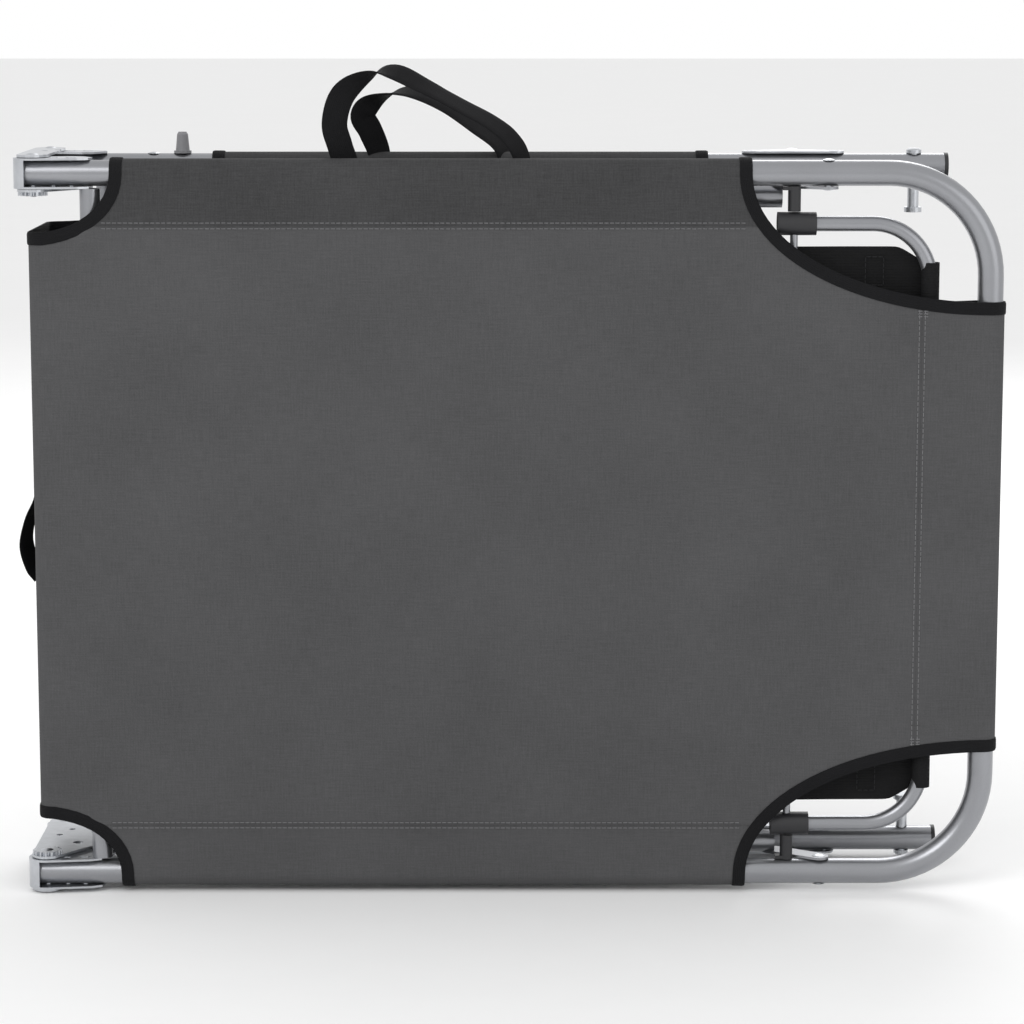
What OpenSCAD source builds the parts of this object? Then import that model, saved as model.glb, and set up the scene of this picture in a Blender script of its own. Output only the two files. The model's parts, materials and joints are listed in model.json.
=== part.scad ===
// Folding sun lounger with a small head shade, folded and standing on its long side.
// X runs along the lounger, Y is the depth of the folded pack and Z its width.
// Every section is drawn about the mid plane z = 0 and then lifted onto the floor.

/* [Frame] */
// Distance between the centres of the two long tubes
frame_w = 554; // [500:2:600]
// Outer diameter of the frame tube
tube_d = 20; // [19:0.5:22]
// Wall of every tube
wall = 1.2; // [1:0.1:1.5]
// Outer diameter of the leg and foot section tubes
leg_d = 18; // [16:0.5:18]
// Bend radius of the head section's tube
head_bend = 80; // [70:2:90]
// Distance from the back hinge to the centre of the head section's end tube
head_len = 741; // [720:1:760]
// Distance from the back hinge to the foot hinge along the seat
seat_len = 596; // [570:1:610]
// Length of the foot section from its hinge to its end tube
foot_len = 480; // [440:5:490]
// Distance between the head and the seat tubes when folded
fold_gap = 105; // [100:1:120]

/* [Legs] */
// Length of a leg from its pivot to its floor bar
leg_len = 320; // [290:5:330]
// Distance of a leg's tube from its pivot, across the leg
leg_offset = 22; // [22:0.5:24]

/* [Cloth] */
// Thickness of the woven cloth
cloth_t = 1.3; // [1:0.1:1.5]
// Half the width of the cloth where it folds round the back hinge
fold_half = 231; // [200:1:240]

/* [Shade] */
// Outer diameter of the shade's bow
shade_d = 12; // [10:0.5:12]
// Distance from the shade's pivot to the middle of its bow
shade_len = 106; // [90:1:110]

/* [Carry handles] */
// Width of the handle webbing
strap_w = 18; // [15:1:25]
// Height of a handle above the frame
handle_h = 66; // [50:1:80]

/* [Hidden] */
$fn = 48;

half = frame_w / 2;
tube_r = tube_d / 2;
leg_r = leg_d / 2;
shade_r = shade_d / 2;
gap = 0.1;                          // a cloth sleeve round its tube
fit = 0.05;                         // radial clearance of a rivet in its hole
plate_t = 1.6;
plate_in = tube_r + 0.2;            // from the tube's centre to the plate that lies on it
link_in = plate_in + plate_t + 0.5;
link_t = 2;
rivet_r = 3;
head_t = 1.2;                       // height of a rivet's head
curl_r = 14.6;                      // outside of a bracket's curl round its tube's end
ratchet_t = 3;

back_x = -366;                      // the two pivots of the back hinge
tube_start = back_x - 7;
head_end = back_x + head_len;
foot_pivot_x = back_x + seat_len;
foot_pivot_y = fold_gap + 21;
foot_y = foot_pivot_y + 7;          // foot tubes when folded
foot_half = half - tube_r - leg_r - 5;
foot_start = foot_pivot_x - 20;
foot_end = foot_pivot_x - foot_len;
rail_end = 350;
stud_x = 326;
stud_r = 4.5;

leg_along = 34;                     // from a leg's pivot to the start of its tube
leg_bend = 44;
tab_t = 2;
tab_r = 8;
tab_in = tube_r + 0.4;
head_leg_x = 248;
seat_leg_x = -283;
foot_leg_x = -178;
head_leg_half = half - 19;
seat_leg_half = half - 9;
foot_leg_half = foot_half - 8;
foot_leg_len = 278;

spreader_r = 8;
spreader_half = half - plate_in - plate_t - gap;
foot_spreader_r = 7;

shade_x = 222;
shade_half = half - 39;
shade_cloth_half = half - 57;
shade_bend = 45;
shade_wall = 1;

sleeve_r = tube_r + gap;
head_sleeve = [-305, 188];
seat_sleeve = [-235, 160];
end_half = 177;                     // half the width of the cloth at the end tube
handle_x = -58;
handle_half = 68;

floor_z = half + link_in + link_t + head_t;
x_mid = (back_x - curl_r + head_end + sleeve_r + cloth_t) / 2;
y_mid = (foot_y + leg_offset + leg_r - curl_r) / 2;

zinc = [0.79, 0.80, 0.83];
steel = [0.62, 0.63, 0.66];
grey = [0.33, 0.33, 0.33];
black = [0.10, 0.10, 0.11];

// Puts a section drawn about z = 0 in its place on the floor.
module place() {
    translate([-x_mid, -y_mid, floor_z]) children();
}

// Draws its children at the upper side and mirrored at the lower side.
module both() {
    children();
    mirror([0, 0, 1]) children();
}

// A bar along X of radius r.
module bar_x(x0, x1, y, z, r) {
    translate([x0, y, z]) rotate([0, 90, 0]) cylinder(r = r, h = x1 - x0);
}

// A bar along Z of radius r.
module bar_z(x, y, z0, z1, r) {
    translate([x, y, z0]) cylinder(r = r, h = z1 - z0);
}

// A quarter bend of a bar, from along X to along Z, round the point x, z.
module bend(x, y, z, big, r, side) {
    translate([x, y, z]) rotate([90, 0, 0]) rotate([0, 0, side > 0 ? 0 : 90])
        rotate_extrude(angle = 90) translate([big, 0]) circle(r = r);
}

// A U of bar: two arms along X from x0 and a run along Z at x1.
module u_bar(x0, x1, y, hw, big, r) {
    side = x1 > x0 ? 1 : -1;
    corner = x1 - side * big;
    for (m = [0, 1]) mirror([0, 0, m]) {
        bar_x(min(x0, corner), max(x0, corner), y, hw, r);
        bend(corner, y, hw - big, big, r, side);
    }
    bar_z(x1, y, -(hw - big), hw - big, r);
}

// The same U as a tube with open ends.
module u_tube(x0, x1, y, hw, big, r) {
    side = x1 > x0 ? 1 : -1;
    difference() {
        u_bar(x0, x1, y, hw, big, r);
        u_bar(x0 - side, x1, y, hw, big, r - wall);
    }
}

// The direction that the outside of edge i of an outline faces.
function facing(pts, i) = let (n = len(pts), d = pts[(i + 1) % n] - pts[i % n])
    atan2(d[1], d[0]) - 90;

// An outline through pts, in anticlockwise order, grown by r with round corners.
function grown(pts, r) = let (n = len(pts), steps = 10)
    [for (i = [0 : n - 1])
        let (from = facing(pts, i + n - 1), turn = (facing(pts, i) - from + 720) % 360)
        for (k = [0 : steps]) pts[i] + r * [cos(from + turn * k / steps), sin(from + turn * k / steps)]];

// A flat plate in the XY plane: the outline through pts, grown by r.
module slab(pts, r, z, t) {
    translate([0, 0, z]) linear_extrude(t) polygon(grown(pts, r));
}

// A rivet through z0 to z1 with a low round head at each end.
module rivet(x, y, z0, z1, r) {
    head_r = r * 1.9;
    bar_z(x, y, z0, z1, r);
    for (end = [[z0, 180], [z1, 0]]) translate([x, y, end[0]]) rotate([end[1], 0, 0]) intersection() {
        cylinder(r = head_r, h = head_t);
        translate([0, 0, head_t - head_r * 2]) sphere(r = head_r * 2);
    }
}

// The hole that a rivet or pivot leaves in what it goes through.
module hole(x, y, r) {
    bar_z(x, y, -floor_z - 1, floor_z + 1, r + fit);
}

/* Sections of cloth */

// A quarter of an ellipse from the long edge to the short one, which a corner is cut back by.
function corner_cut(cx, cz, a, b, n) =
    [for (i = [0 : n]) [cx + a * cos(90 * i / n), cz + b * sin(90 * i / n)]];

// A flat panel in the XZ plane with four cut-back corners, its near face at y.
module panel(x0, x1, zt, cut0, cut1, y) {
    translate([0, y + cloth_t, 0]) rotate([90, 0, 0]) linear_extrude(cloth_t) difference() {
        translate([x0, -zt]) square([x1 - x0, 2 * zt]);
        for (s = [-1, 1]) {
            polygon(concat([[x0 - 1, s * (zt + 1)], [x0 + cut0[0], s * (zt + 1)]],
                corner_cut(x0, s * zt, cut0[0], -s * cut0[1], 12), [[x0 - 1, s * (zt - cut0[1])]]));
            polygon(concat([[x1 + 1, s * (zt + 1)], [x1 - cut1[0], s * (zt + 1)]],
                corner_cut(x1, s * zt, -cut1[0], -s * cut1[1], 16), [[x1 + 1, s * (zt - cut1[1])]]));
        }
    }
}

// The sleeve of a panel round a tube along X.
module sleeve_x(range, y, z, r) {
    difference() {
        bar_x(range[0], range[1], y, z, r + cloth_t);
        bar_x(range[0] - 1, range[1] + 1, y, z, r);
    }
}

// The sleeve of a panel round a tube along Z.
module sleeve_z(x, y, hz, r) {
    difference() {
        bar_z(x, y, -hz, hz, r + cloth_t);
        bar_z(x, y, -hz - 1, hz + 1, r);
    }
}

/* Head section */

module head_frame() {
    color(steel) place() difference() {
        u_tube(tube_start, head_end, 0, half, head_bend, tube_r);
        hole(back_x, 0, rivet_r);
        for (x = bracket_rivet_x) hole(x, 0, 2.5);
        hole(head_leg_x, 0, rivet_r);
    }
}

// A spreader tube along Z across a section, hw to each side.
module spreader(x, y, hw, r) {
    difference() {
        bar_z(x, y, -hw, hw, r);
        bar_z(x, y, -hw - 1, hw + 1, r - wall);
    }
}

module head_spreader() {
    color(steel) place() spreader(back_x + 44, 0, spreader_half, spreader_r);
}

bracket_rivet_x = [-350, -336];

// The points of an arc round x, y.
function arc(x, y, r, a0, a1, n) =
    [for (i = [0 : n]) [x + r * cos(a0 + (a1 - a0) * i / n), y + r * sin(a0 + (a1 - a0) * i / n)]];

// The pressed bracket on the end of a tube: a plate each side and a curl round the end.
// flip is the side that its wide corner is on.
module bracket(y, flip) {
    both() difference() {
        union() {
            for (z = [half + plate_in, half - plate_in - plate_t]) translate([0, 0, z])
                linear_extrude(plate_t) polygon([for (p = concat(arc(back_x, 0, curl_r, 90, 270, 20),
                    [[-330, -10], [-322, -6], [-320, 4], [-328, 18], [-338, 22]])) [p[0], y + flip * p[1]]]);
            translate([0, 0, half - plate_in - 0.8]) linear_extrude(2 * plate_in + 1.6)
                polygon(concat(arc(back_x, y, curl_r - 0.1, 110, 250, 16),
                    arc(back_x, y, curl_r - plate_t, 250, 110, 16)));
        }
        hole(back_x, y, rivet_r);
        for (x = bracket_rivet_x) hole(x, y, 2.5);
    }
}

module head_brackets() {
    color(zinc) place() bracket(0, 1);
}

// Rivets that hold a bracket to its tube.
module bracket_rivets(y) {
    reach = plate_in + plate_t;
    both() for (x = bracket_rivet_x) bracket_rivet(x, y, half - reach, half + reach);
}

// A bracket rivet, with heads low enough to pass under the links.
module bracket_rivet(x, y, z0, z1) {
    bar_z(x, y, z0, z1, 2.5);
    bar_z(x, y, z0 - 0.3, z0, 4);
    bar_z(x, y, z1, z1 + 0.3, 4);
}

module head_bracket_rivets() {
    color(zinc) place() bracket_rivets(0);
}

module head_cloth() {
    color(grey) place() {
        panel(back_x, head_end, half, [61, 46], [187, 100], -sleeve_r - cloth_t);
        both() difference() {
            sleeve_x(head_sleeve, 0, half, sleeve_r);
            translate([-400, -sleeve_r - 2 * cloth_t, half - 30]) cube([800, 2 * cloth_t + gap, 60]);
        }
        difference() {
            sleeve_z(head_end, 0, end_half - 4, sleeve_r);
            translate([head_end - 30, -sleeve_r - 2 * cloth_t, -300]) cube([60, 2 * cloth_t + gap, 600]);
        }
    }
}

// Pivot rivets of a leg, through the tube and the leg's tab.
module leg_rivets(x, y, hw, r) {
    both() rivet(x, y, hw - r - 0.4 - tab_t - 0.1, hw + r, rivet_r);
}

module head_leg_rivets() {
    color(zinc) place() leg_rivets(head_leg_x, 0, half, tube_r);
}

module shade_posts() {
    top = half - tube_r - 0.1;
    color(black) place() both() {
        bar_z(shade_x, 0, shade_half + 9.4, top, 5);
        translate([shade_x - 9, -4, top - 3]) cube([11, 8, 2.6]);
    }
}

// A loop of webbing that stands on the upper edge of the cloth.
module handle(x, y, h) {
    z0 = half + sleeve_r + cloth_t + 0.3;
    color(black) place() translate([x, y + strap_w / 2, z0]) rotate([90, 0, 0])
        linear_extrude(strap_w) difference() {
            arch(handle_half, h);
            arch(handle_half - 2.5, h - 2.5);
        }
}

// The area under an arch, a half superellipse.
module arch(a, h) {
    n = 24;
    polygon([for (i = [0 : n]) let (c = cos(180 * i / n), s = sin(180 * i / n))
        [a * sign(c) * pow(abs(c), 0.8), h * pow(s, 0.8)]]);
}

module handle_front() {
    handle(handle_x, 2, handle_h);
}

/* Back hinge */

module hinge_links() {
    outer = half + link_in;
    inner = half - link_in - link_t;
    color(zinc) place() both() difference() {
        union() {
            slab([[back_x, 0], [back_x, fold_gap]], 12, outer, link_t);
            slab([[back_x, 0], [back_x + 26, 34], [back_x, fold_gap]], 12, inner, link_t);
        }
        hole(back_x, 0, rivet_r);
        hole(back_x, fold_gap, rivet_r);
        hole(back_x + 20, 34, 4);
        hole(back_x + 2, 58, 2.5);
        hole(back_x + 10, 76, 2.5);
    }
}

module link_pivot_rivets() {
    reach = link_in + link_t;
    color(zinc) place() both() {
        rivet(back_x, 0, half - reach - ratchet_t, half + reach, rivet_r);
        rivet(back_x, fold_gap, half - reach, half + reach, rivet_r);
    }
}

// Toothed discs that the backrest's steps catch on.
module ratchet_discs() {
    teeth = 16;
    color(zinc) place() both() difference() {
        translate([back_x, 0, half - link_in - link_t - ratchet_t]) linear_extrude(ratchet_t) union() {
            circle(r = 9);
            for (i = [0 : teeth - 1]) rotate([0, 0, 360 * i / teeth])
                polygon([[8, -1.6], [11.5, -0.4], [11.5, 0.8], [8, 1.6]]);
        }
        hole(back_x, 0, rivet_r);
    }
}

module fold_cloth() {
    color(grey) place() translate([back_x - 3 - cloth_t, 6, -fold_half])
        cube([cloth_t, fold_gap - 12, 2 * fold_half]);
}

module closing_strap() {
    color(black) place() translate([back_x - 6 - cloth_t, 30, -44]) cube([2, 26, 66]);
}

/* Seat section */

module seat_rail() {
    difference() {
        bar_x(tube_start, rail_end, fold_gap, half, tube_r);
        bar_x(tube_start - 1, rail_end + 1, fold_gap, half, tube_r - wall);
        hole(back_x, fold_gap, rivet_r);
        for (x = bracket_rivet_x) hole(x, fold_gap, 2.5);
        hole(seat_leg_x, fold_gap, rivet_r);
        hole(stud_x, fold_gap, stud_r);
        for (x = foot_bracket_x) hole(x, fold_gap, 2.5);
    }
}

foot_bracket_x = [196, 262];

module seat_rail_top() {
    color(steel) place() seat_rail();
}

module seat_rail_bottom() {
    color(steel) place() mirror([0, 0, 1]) seat_rail();
}

// A tube across the seat between its rails.
module seat_spreader_back() {
    color(steel) place() spreader(back_x + 44, fold_gap, spreader_half, spreader_r);
}

module seat_spreader_foot() {
    color(steel) place() spreader(foot_pivot_x - 58, fold_gap, spreader_half, spreader_r);
}

module seat_brackets() {
    color(zinc) place() bracket(fold_gap, -1);
}

module seat_bracket_rivets() {
    color(zinc) place() bracket_rivets(fold_gap);
}

module seat_cloth() {
    color(grey) place() {
        panel(back_x, 205, half, [131, 46], [45, 60], fold_gap + sleeve_r);
        both() difference() {
            sleeve_x(seat_sleeve, fold_gap, half, sleeve_r);
            translate([-400, fold_gap + sleeve_r - gap, half - 30]) cube([800, 3 * cloth_t, 60]);
        }
    }
}

module rail_end_caps() {
    color(black) place() both() {
        bar_x(rail_end + 0.1, rail_end + 3, fold_gap, half, tube_r + 0.5);
        bar_x(rail_end - 14, rail_end + 0.1, fold_gap, half, tube_r - wall - 0.1);
    }
}

module foot_rest_studs() {
    color(zinc) place() both() {
        bar_z(stud_x, fold_gap, half - 33, half + tube_r + 2, stud_r - 0.6);
        bar_z(stud_x, fold_gap, half - 33, half - tube_r - 0.2, stud_r);
        bar_z(stud_x, fold_gap, half - 37, half - 33, stud_r + 2.5);
    }
}

module stud_nuts() {
    color(zinc) place() both() intersection() {
        bar_z(stud_x, fold_gap, half + tube_r + 0.1, half + tube_r + 4, 6);
        difference() {
            translate([stud_x, fold_gap, half + tube_r - 4]) sphere(r = 9);
            bar_z(stud_x, fold_gap, 0, half + tube_r + 2.1, stud_r - 0.55);
        }
    }
}

module seat_leg_rivets() {
    color(zinc) place() leg_rivets(seat_leg_x, fold_gap, half, tube_r);
}

// The tapered peg that a leg's tube rests against, on the upper rail.
module leg_peg() {
    color(grey) place() translate([-260, fold_gap, half + tube_r + 0.1]) {
        cylinder(r = 7, h = 2);
        translate([0, 0, 2]) rotate_extrude()
            polygon([[0, 0], [5.6, 0], [4.4, 13], [3.2, 15], [0, 15]]);
    }
}

module handle_back() {
    handle(handle_x + 14, fold_gap - 4, handle_h - 14);
}

module foot_hinge_brackets() {
    color(zinc) place() both() difference() {
        for (z = [half + plate_in, half - plate_in - plate_t])
            slab([[196, fold_gap], [262, fold_gap], [foot_pivot_x, foot_pivot_y]], 8, z, plate_t);
        hole(foot_pivot_x, foot_pivot_y, rivet_r);
        for (x = foot_bracket_x) hole(x, fold_gap, 2.5);
    }
}

module foot_hinge_bolts() {
    reach = plate_in + plate_t;
    color(zinc) place() {
        both() rivet(foot_pivot_x, foot_pivot_y, foot_half + leg_r, half + reach, rivet_r);
        both() for (x = foot_bracket_x)
            bracket_rivet(x, fold_gap, half - reach, half + reach);
    }
}

/* Legs */

// A U leg folded along +X from its pivot; toward is the side of the pivot that its tube lies on.
module leg(x, y, hw, tab_z, length, dir, toward) {
    ty = y + toward * leg_offset;
    tab = [[x, y], [x + dir * leg_along, ty], [x + dir * (leg_along + 2), ty]];
    difference() {
        union() {
            difference() {
                u_bar(x + dir * leg_along, x + dir * length, ty, hw, leg_bend, leg_r);
                u_bar(x + dir * (leg_along + 12), x + dir * length, ty, hw, leg_bend, leg_r - wall);
            }
            both() slab(dir * toward < 0 ? tab : [tab[0], tab[2], tab[1]], tab_r, tab_z, tab_t);
        }
        hole(x, y, rivet_r);
    }
}

module head_leg() {
    color(steel) place()
        leg(head_leg_x, 0, head_leg_half, half - tab_in - tab_t, leg_len, -1, 1);
}

module seat_leg() {
    color(steel) place()
        leg(seat_leg_x, fold_gap, seat_leg_half, half - tab_in - tab_t, leg_len, 1, -1);
}

module foot_leg() {
    color(steel) place() leg(foot_leg_x, foot_y, foot_leg_half,
        foot_half - leg_r - 0.4 - tab_t, foot_leg_len, 1, 1);
}

/* Foot section */

module foot_frame() {
    color(steel) place() difference() {
        u_tube(foot_start, foot_end, foot_y, foot_half, 60, leg_r);
        hole(foot_leg_x, foot_y, rivet_r);
        hole(foot_start - 12, foot_y, 2.5);
    }
}

module foot_spreader() {
    color(steel) place() spreader(foot_start - 26, foot_y + 1, foot_half - leg_r - 0.4, foot_spreader_r);
}

// Arms that join the foot tubes to the foot hinge's bolts.
module foot_hinge_arms() {
    color(zinc) place() both() {
        difference() {
            slab([[foot_pivot_x, foot_pivot_y], [foot_start - 16, foot_y]], 7,
                foot_half + leg_r + 0.4, plate_t);
            hole(foot_pivot_x, foot_pivot_y, rivet_r);
            hole(foot_start - 12, foot_y, 2.5);
        }
        bracket_rivet(foot_start - 12, foot_y, foot_half - leg_r, foot_half + leg_r + 0.4 + plate_t);
    }
}

module foot_cloth() {
    r = leg_r + gap;
    color(grey) place() {
        translate([0, foot_y - r - cloth_t, 0])
            panel(foot_end, foot_start - 6, foot_half, [125, 70], [99, 40], 0);
        both() difference() {
            sleeve_x([foot_end + 125, foot_start - 105], foot_y, foot_half, r);
            translate([-400, foot_y - r - 2 * cloth_t, foot_half - 30]) cube([800, 2 * cloth_t + gap, 60]);
        }
    }
}

module foot_leg_rivets() {
    color(zinc) place() leg_rivets(foot_leg_x, foot_y, foot_half, leg_r);
}

/* Shade */

module shade_bow() {
    color(steel) place() difference() {
        u_bar(shade_x + 8, shade_x + shade_len, 0, shade_half, shade_bend, shade_r);
        u_bar(shade_x + 7, shade_x + shade_len, 0, shade_half, shade_bend, shade_r - shade_wall);
    }
}

module shade_sockets() {
    color(black) place() both() difference() {
        bar_x(shade_x - 13, shade_x + 17, 0, shade_half, 9);
        bar_x(shade_x + 7.9, shade_x + 18, 0, shade_half, shade_r + 0.05);
        translate([shade_x, 0, shade_half - 8]) rotate([180, 0, 0]) cylinder(r = 3.2, h = 3);
    }
}

module shade_rod() {
    inner = shade_half - 8.2;
    color(steel) place() bar_z(shade_x, 0, -inner, inner, 3);
}

module shade_cloth() {
    end_x = shade_x + shade_len;
    color(black) place() difference() {
        union() {
            bar_z(end_x, 0, -(shade_half - 46), shade_half - 46, shade_r + gap + cloth_t);
            bar_z(shade_x, 0, -shade_cloth_half, shade_cloth_half, 3 + gap + cloth_t);
            translate([shade_x, 3.1, -shade_cloth_half])
                cube([shade_len - 8, cloth_t, 2 * shade_cloth_half]);
        }
        u_bar(shade_x + 8, end_x, 0, shade_half, 45, shade_r + gap);
        bar_z(shade_x, 0, -300, 300, 3 + gap);
    }
}

head_frame();
head_spreader();
head_brackets();
head_bracket_rivets();
head_cloth();
head_leg_rivets();
shade_posts();
handle_front();
hinge_links();
link_pivot_rivets();
ratchet_discs();
fold_cloth();
closing_strap();
seat_rail_top();
seat_rail_bottom();
seat_spreader_back();
seat_spreader_foot();
seat_brackets();
seat_bracket_rivets();
seat_cloth();
rail_end_caps();
foot_rest_studs();
stud_nuts();
seat_leg_rivets();
leg_peg();
handle_back();
foot_hinge_brackets();
foot_hinge_bolts();
head_leg();
seat_leg();
foot_frame();
foot_spreader();
foot_hinge_arms();
foot_cloth();
foot_leg_rivets();
foot_leg();
shade_bow();
shade_sockets();
shade_rod();
shade_cloth();
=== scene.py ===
"""Cloth, webbing, stitching and finishes of a folded sun lounger, built round its frame.

X runs along the lounger, Y is the depth of the folded pack and Z its width. Lengths are in metres.
"""

import json
import math

import bpy
import numpy as np
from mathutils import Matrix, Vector, noise


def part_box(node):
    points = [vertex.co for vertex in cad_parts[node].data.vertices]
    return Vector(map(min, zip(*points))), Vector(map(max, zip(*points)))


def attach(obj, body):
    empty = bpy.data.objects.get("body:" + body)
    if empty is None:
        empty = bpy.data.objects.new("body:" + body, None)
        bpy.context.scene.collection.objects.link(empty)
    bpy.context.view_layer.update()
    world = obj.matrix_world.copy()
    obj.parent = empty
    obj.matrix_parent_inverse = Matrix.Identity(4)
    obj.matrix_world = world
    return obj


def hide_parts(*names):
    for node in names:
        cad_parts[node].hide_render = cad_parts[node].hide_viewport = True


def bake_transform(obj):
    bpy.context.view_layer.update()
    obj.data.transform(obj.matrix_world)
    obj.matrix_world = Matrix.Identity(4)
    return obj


bl_info = {
    "name": "Folded sun lounger",
    "version": (1, 0, 0),
    "blender": (4, 5, 0),
    "location": "View3D > Sidebar > Lounger",
    "description": "Builds the cloth, webbing and finishes of a folded sun lounger",
    "category": "Add Mesh",
}

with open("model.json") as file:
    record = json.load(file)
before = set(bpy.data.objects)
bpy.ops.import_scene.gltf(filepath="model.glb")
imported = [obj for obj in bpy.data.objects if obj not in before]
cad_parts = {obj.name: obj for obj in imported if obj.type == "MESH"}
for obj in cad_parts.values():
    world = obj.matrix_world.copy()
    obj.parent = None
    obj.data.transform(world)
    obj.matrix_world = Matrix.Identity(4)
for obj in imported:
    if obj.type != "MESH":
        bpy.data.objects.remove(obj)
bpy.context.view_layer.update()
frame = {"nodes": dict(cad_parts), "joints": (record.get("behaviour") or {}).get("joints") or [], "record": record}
MM = 0.001

# Places taken from the frame
joint_at = {j["name"]: Vector(j["pos_m"]) for j in frame["joints"]}
LINK_SEAT = joint_at["back_fold"]
LINK_HEAD = joint_at["back_recline"]
FOOT_HINGE = joint_at["foot_fold"]
SHADE_HINGE = joint_at["shade_tilt"]
HEAD_LOW, HEAD_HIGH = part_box("head_frame")
RAIL_LOW, RAIL_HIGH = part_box("seat_rail_top")
FOOT_LOW, FOOT_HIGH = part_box("foot_frame")
BOW_LOW, BOW_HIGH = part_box("shade_bow")
MID_Z = (HEAD_LOW.z + HEAD_HIGH.z) / 2
TUBE_R = (RAIL_HIGH.z - RAIL_LOW.z) / 2
HALF = (HEAD_HIGH.z - HEAD_LOW.z) / 2 - TUBE_R
END_X = HEAD_HIGH.x - TUBE_R
FOOT_R = (FOOT_HIGH.y - FOOT_LOW.y) / 2
FOOT_HALF = (FOOT_HIGH.z - FOOT_LOW.z) / 2 - FOOT_R
FOOT_END_X = FOOT_LOW.x + FOOT_R
FOOT_Y = (FOOT_LOW.y + FOOT_HIGH.y) / 2
BOW_R = (BOW_HIGH.y - BOW_LOW.y) / 2
BOW_X = BOW_HIGH.x - BOW_R
BOW_HALF = (BOW_HIGH.z - BOW_LOW.z) / 2 - BOW_R

WRAP = 0.8 * MM  # from a tube's surface to the middle of the cloth round it
FOLD_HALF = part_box("fold_cloth")[1].z - MID_Z
FOLD_MID_Y = (LINK_HEAD.y + LINK_SEAT.y) / 2
BAND = 40 * MM  # from a tube's centre to the stitches that close its sleeve


class LoungerSizes(bpy.types.PropertyGroup):
    """Sizes of the sewn parts."""

    cloth_thickness: bpy.props.FloatProperty(
        name="Cloth thickness", description="Thickness of the woven cloth", default=1.0 * MM, unit="LENGTH")
    binding_width: bpy.props.FloatProperty(
        name="Binding width", description="Width of the tape on a cut edge", default=9 * MM, unit="LENGTH")
    stitch_length: bpy.props.FloatProperty(
        name="Stitch length", description="Length of one stitch", default=3.0 * MM, unit="LENGTH")
    stitch_pitch: bpy.props.FloatProperty(
        name="Stitch pitch", description="From one stitch to the next", default=4.2 * MM, unit="LENGTH")
    webbing_width: bpy.props.FloatProperty(
        name="Webbing width", description="Width of the handle webbing", default=20 * MM, unit="LENGTH")
    sag: bpy.props.FloatProperty(
        name="Unevenness", description="How far the cloth strays from flat", default=1.1 * MM, unit="LENGTH")


class LoungerColours(bpy.types.PropertyGroup):
    """Colours of the finishes."""

    cloth: bpy.props.FloatVectorProperty(
        name="Cloth", description="Grey of the cloth", default=(0.070, 0.070, 0.072), subtype="COLOR")
    binding: bpy.props.FloatVectorProperty(
        name="Binding", description="Tape and webbing", default=(0.008, 0.008, 0.009), subtype="COLOR")
    shade: bpy.props.FloatVectorProperty(
        name="Shade", description="Cloth of the shade", default=(0.010, 0.010, 0.0105), subtype="COLOR")
    tube: bpy.props.FloatVectorProperty(
        name="Tube", description="Silver-grey coat of the tubes",
        default=(0.30, 0.305, 0.322), subtype="COLOR")
    zinc: bpy.props.FloatVectorProperty(
        name="Zinc", description="Plated pressings and rivets", default=(0.5, 0.515, 0.54), subtype="COLOR")
    plastic: bpy.props.FloatVectorProperty(
        name="Plastic", description="Black mouldings", default=(0.014, 0.014, 0.016), subtype="COLOR")
    floor: bpy.props.FloatVectorProperty(
        name="Floor", description="Studio floor", default=(0.93, 0.93, 0.93), subtype="COLOR")


def sizes():
    return bpy.context.scene.lounger_sizes


def colours():
    return bpy.context.scene.lounger_colours


# Shader helpers


def new_group(name, inputs, outputs):
    """An empty node group with named sockets, and its in and out nodes."""
    group = bpy.data.node_groups.new(name, "ShaderNodeTree")
    for socket, kind, value in inputs:
        made = group.interface.new_socket(socket, in_out="INPUT", socket_type=kind)
        if value is not None:
            made.default_value = value
    for socket, kind in outputs:
        group.interface.new_socket(socket, in_out="OUTPUT", socket_type=kind)
    return group, group.nodes.new("NodeGroupInput"), group.nodes.new("NodeGroupOutput")


def math_node(tree, operation, a, b=None, c=None):
    """A Math node whose inputs are sockets or numbers. Returns its output."""
    node = tree.nodes.new("ShaderNodeMath")
    node.operation = operation
    for slot, value in enumerate((a, b, c)):
        if isinstance(value, bpy.types.NodeSocket):
            tree.links.new(value, node.inputs[slot])
        elif value is not None:
            node.inputs[slot].default_value = value
    return node.outputs[0]


def noise_value(tree, vector, scale, detail=2.0):
    """A Noise texture's value."""
    node = tree.nodes.new("ShaderNodeTexNoise")
    node.inputs["Scale"].default_value = scale
    node.inputs["Detail"].default_value = detail
    tree.links.new(vector, node.inputs["Vector"])
    return node.outputs["Fac"]


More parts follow.
